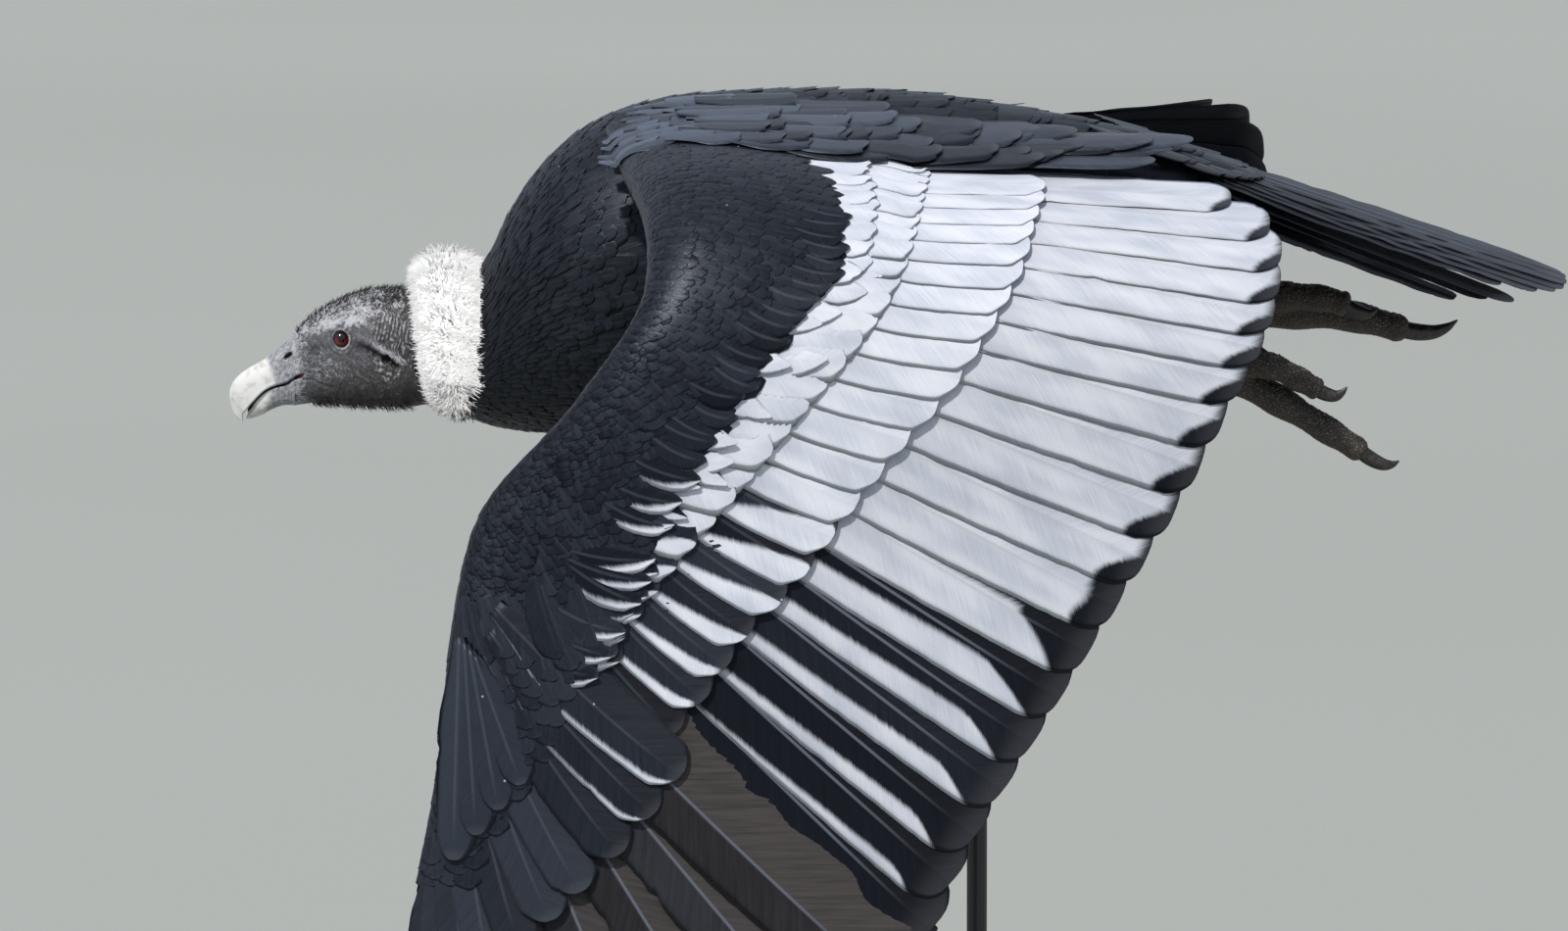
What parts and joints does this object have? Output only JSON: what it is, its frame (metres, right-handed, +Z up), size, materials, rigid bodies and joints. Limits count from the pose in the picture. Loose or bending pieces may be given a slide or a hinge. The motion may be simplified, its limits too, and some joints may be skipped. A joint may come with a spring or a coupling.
{
  "type": "andean condor",
  "caption": "Life-size model of a female andean condor with its wings at the bottom of the beat, held over the floor by a plain stand.",
  "frame": {"origin": "centre of the wing span on the floor, under the middle of the body, on the underside of the stand's plate", "axes": "-X the way the bird flies, +Z up, the left wing on the -Y side"},
  "size_m": [1.055, 1.1502, 1.1087],
  "materials": {
    "plumage": "black contour and flight feathers with white wing panels",
    "ruff_down": "dense white down",
    "head_skin": "bare wrinkled grey-black skin",
    "bill_horn": "ivory horn, dark grey at its root",
    "eye": "glossy red-brown eye",
    "foot_scale": "grey-brown scaled skin",
    "claw_horn": "black horn",
    "stand_metal": "satin black paint"
  },
  "bodies": {
    "root": {"torso": "plumage", "neck": "plumage", "ruff": "ruff_down", "head": "head_skin", "bill_upper": "bill_horn", "bill_lower": "bill_horn", "eye_left": "eye", "eye_right": "eye", "wing_left_arm": "plumage", "wing_left_forearm": "plumage", "wing_left_hand": "plumage", "wing_right_arm": "plumage", "wing_right_forearm": "plumage", "wing_right_hand": "plumage", "tail": "plumage", "leg_left": "plumage", "claw_left_middle": "claw_horn", "claw_left_outer": "claw_horn", "claw_left_inner": "claw_horn", "claw_left_hind": "claw_horn", "foot_left": "foot_scale", "leg_right": "plumage", "claw_right_middle": "claw_horn", "claw_right_outer": "claw_horn", "claw_right_inner": "claw_horn", "claw_right_hind": "claw_horn", "foot_right": "foot_scale", "stand_base": "stand_metal", "stand_rod_front": "stand_metal", "stand_rod_rear": "stand_metal"}
  },
  "joints": []
}
